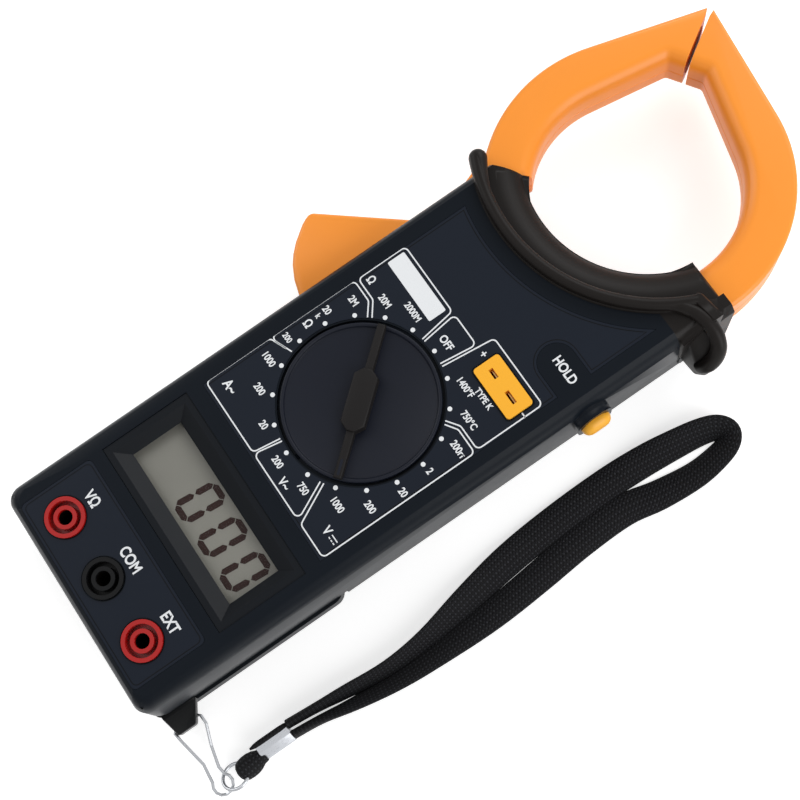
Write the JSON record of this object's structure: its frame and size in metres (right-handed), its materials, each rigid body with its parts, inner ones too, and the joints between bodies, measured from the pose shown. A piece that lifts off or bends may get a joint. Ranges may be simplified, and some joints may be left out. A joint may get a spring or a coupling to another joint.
{
  "type": "clamp meter",
  "caption": "Hand-held clamp meter with hinged spring-loaded jaws, side trigger, rotary range knob, flat display, test jacks and a braided wrist strap.",
  "frame": {"origin": "on the back rest face, straight under the centre of the rotary knob, with the meter lying on its back", "axes": "+X towards the hold button, +Y towards the jaws, +Z out of the face"},
  "size_m": [0.119, 0.23, 0.037],
  "materials": {
    "case_black": "moulded, soft gloss",
    "shroud_black": "fine matt moulding",
    "label": "printed polycarbonate film",
    "bezel_black": "moulded",
    "window": "clear acrylic",
    "lcd": "reflective liquid crystal glass",
    "carrier_white": "moulded",
    "zebra": "silicone",
    "board": "solder mask on glass fibre laminate",
    "steel": "plated",
    "chip": "epoxy",
    "capacitor": "sleeved aluminium",
    "trimmer": "moulded",
    "copper": "enamelled copper",
    "buzzer": "moulded",
    "jack_red": "moulded nylon",
    "jack_black": "moulded nylon",
    "brass": "plated",
    "socket_yellow": "moulded",
    "knob_black": "fine spark-eroded texture",
    "button": "moulded",
    "switch": "moulded",
    "battery": "printed steel can",
    "wire_red": "insulated wire",
    "jaw_orange": "moulded, soft gloss",
    "core_steel": "laminated silicon steel",
    "aluminium": "crimped tube",
    "braid": "braided nylon"
  },
  "bodies": {
    "root": {"front_case": "case_black", "jack_end": "case_black", "jaw_shroud": "shroud_black", "rear_case": "case_black", "battery_cover": "case_black", "battery_cover_screw": "steel", "case_screws": "steel", "dial_label": "label", "jack_label": "label", "lcd_bezel": "bezel_black", "lcd_window": "window", "lcd_glass": "lcd", "lcd_carrier": "carrier_white", "zebra_strips": "zebra", "main_board": "board", "board_screws": "steel", "board_chips": "chip", "board_capacitors": "capacitor", "trimmers": "trimmer", "current_shunt": "copper", "buzzer": "buzzer", "jack_volt_ohm": "jack_red", "jack_common": "jack_black", "jack_extra": "jack_red", "jack_sleeves": "brass", "thermocouple_socket": "socket_yellow", "thermocouple_contacts": "brass", "hold_spring": "steel", "hold_switch": "switch", "battery": "battery", "battery_terminals": "steel", "battery_snap": "switch", "battery_leads": "wire_red", "jaw_pivot_pin": "steel", "jaw_return_spring": "steel", "fixed_jaw_front": "jaw_orange", "fixed_jaw_rear": "jaw_orange", "fixed_core": "core_steel", "fixed_coil": "copper", "jaw_screws": "steel"},
    "jaw": {"moving_jaw_front": "jaw_orange", "moving_jaw_rear": "jaw_orange", "moving_core": "core_steel", "moving_coil": "copper"},
    "dial": {"knob": "knob_black", "knob_carrier": "carrier_white", "knob_wipers": "brass", "knob_screw": "steel", "detent_springs": "steel", "detent_balls": "steel"},
    "button": {"hold_button": "button"},
    "strap": {"wire_ring": "steel", "split_ring": "steel", "strap_end_loop": "braid", "strap_ferrule": "aluminium", "wrist_strap": "braid"}
  },
  "joints": [
    {"name": "jaw_open", "type": "hinge", "parent": "root", "child": "jaw", "pos_m": [-0.028, 0.05, 0.0185], "axis": [0, 0, 1], "range_deg": [0, 30], "stiffness_Nm_per_rad": 0.6, "springref_deg": -20.05, "deforming": ["jaw_return_spring"]},
    {"name": "dial_turn", "type": "hinge", "parent": "root", "child": "dial", "pos_m": [0, 0, 0.03], "axis": [0, 0, 1], "continuous": true},
    {"name": "hold_press", "type": "slide", "parent": "root", "child": "button", "axis": [-1, 0, 0], "range_m": [0, 0.0015], "stiffness_N_per_m": 400, "springref_m": -0.0008, "deforming": ["hold_spring"]},
    {"name": "ring_swing", "type": "hinge", "parent": "root", "child": "strap", "pos_m": [0.0384, -0.0863, 0.0045], "axis": [0, -1, 0], "range_deg": [0, 60]}
  ]
}
